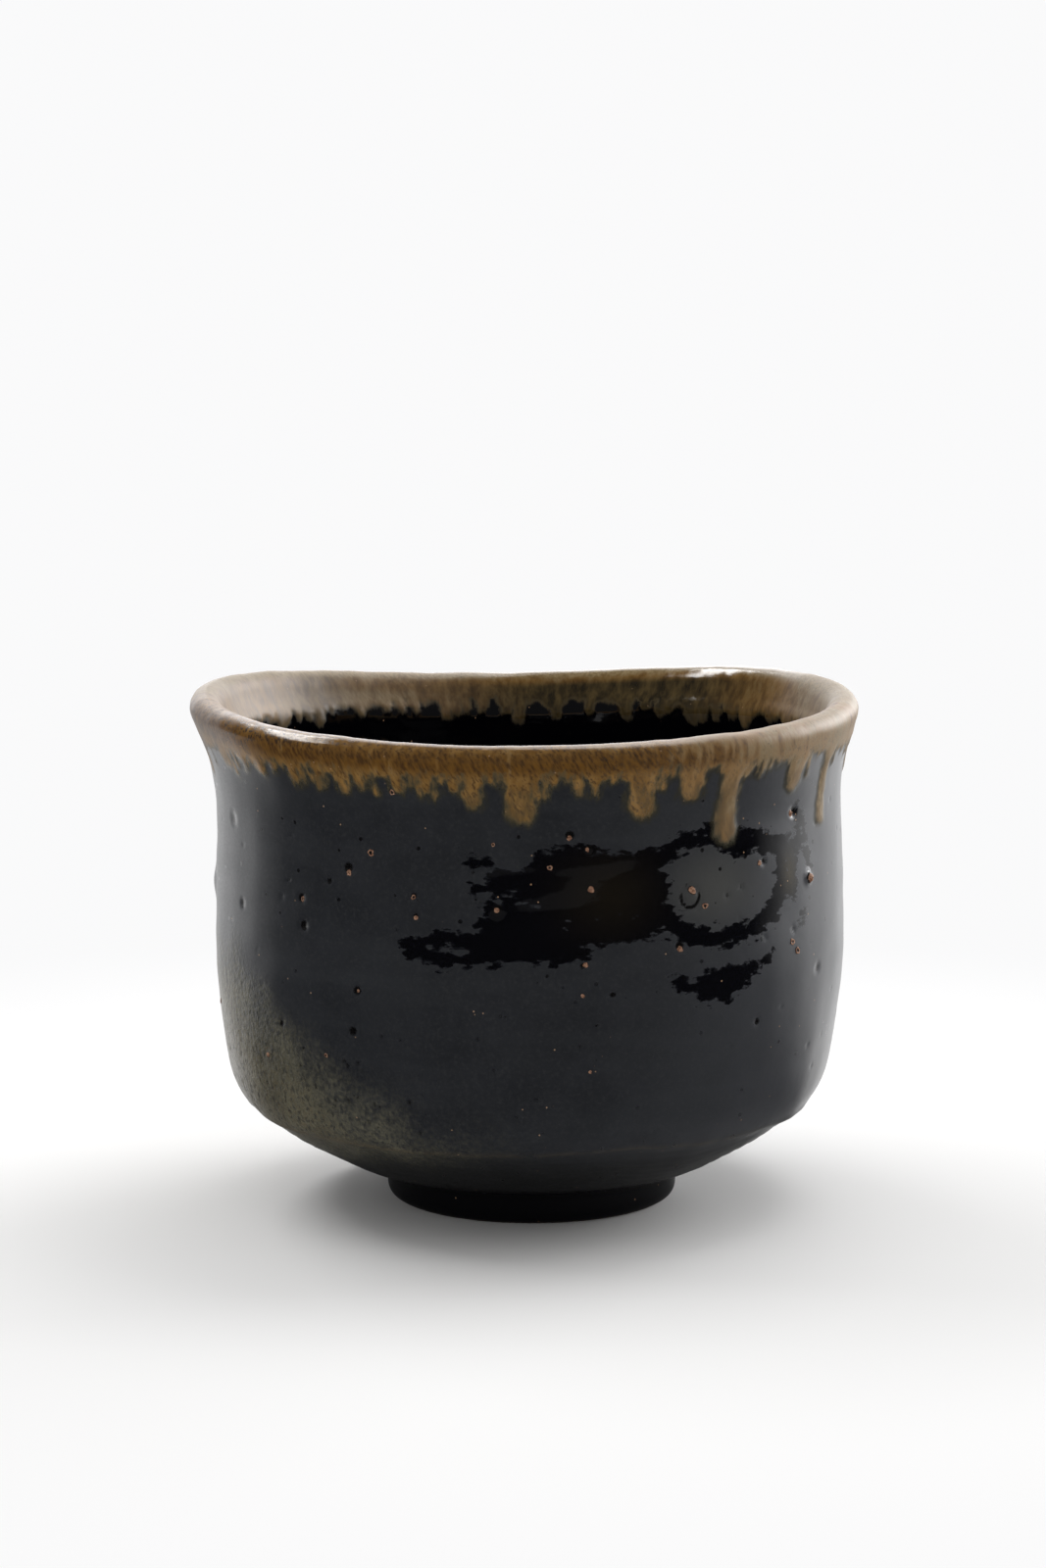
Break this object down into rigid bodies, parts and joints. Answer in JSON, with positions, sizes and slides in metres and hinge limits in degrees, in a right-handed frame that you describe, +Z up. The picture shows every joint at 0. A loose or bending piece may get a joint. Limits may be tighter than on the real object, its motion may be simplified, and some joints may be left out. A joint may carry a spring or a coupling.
{
  "type": "matcha bowl",
  "caption": "Half-cylinder tea bowl of black-glazed stoneware with a waved brown-glazed lip, short glaze runs, a trimmed underside and a small foot ring.",
  "frame": {"origin": "on the floor under the middle of the mouth", "axes": "+Z up out of the mouth, -Y the front with the longest glaze runs, +X to its right"},
  "size_m": [0.1165, 0.1147, 0.0894],
  "materials": {
    "clay": "bare fired stoneware, fine grit",
    "black_glaze": "black glaze with a blue-grey satin film and glossy patches",
    "brown_glaze": "ochre to rust brown ash glaze, glossy, speckled",
    "grit": "burst grit stone, matt"
  },
  "bodies": {
    "root": {"clay_body": "clay", "foot_ring": "clay", "outer_glaze": "black_glaze", "inner_glaze": "black_glaze", "foot_glaze": "black_glaze", "lip_glaze": "brown_glaze", "outer_glaze_runs": "brown_glaze", "inner_glaze_runs": "brown_glaze", "stone_grains": "grit"}
  },
  "joints": []
}
